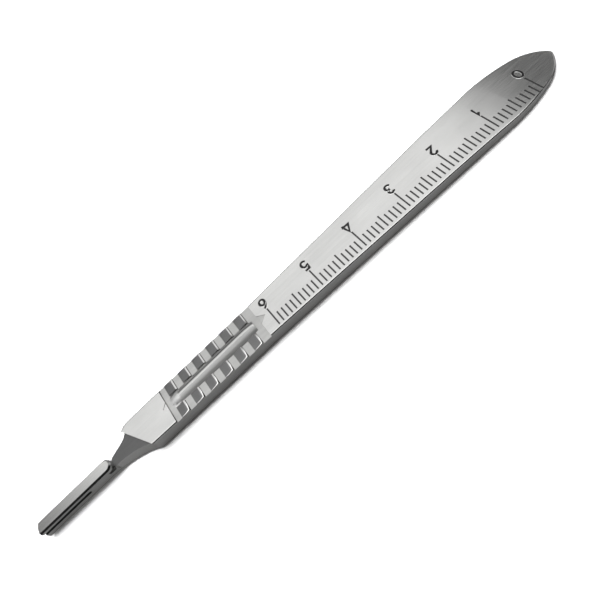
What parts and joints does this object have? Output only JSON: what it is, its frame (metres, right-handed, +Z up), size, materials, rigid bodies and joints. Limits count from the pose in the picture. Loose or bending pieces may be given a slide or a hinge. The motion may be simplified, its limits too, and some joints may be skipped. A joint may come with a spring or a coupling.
{
  "type": "scalpel handle",
  "caption": "Flat steel scalpel handle with a slotted bayonet nose for a slide-on blade, a ribbed grip panel, an arched tail and a millimetre ruler on its upper face.",
  "frame": {"origin": "middle of the back face's bounding box, on the plane the handle rests on", "axes": "+X along the handle towards its tail, +Z up out of the ruled face, the ruled edge at -Y"},
  "size_m": [0.124, 0.0116, 0.0036],
  "materials": {
    "steel": "satin, brushed lengthwise"
  },
  "bodies": {
    "root": {"handle": "steel"}
  },
  "joints": []
}
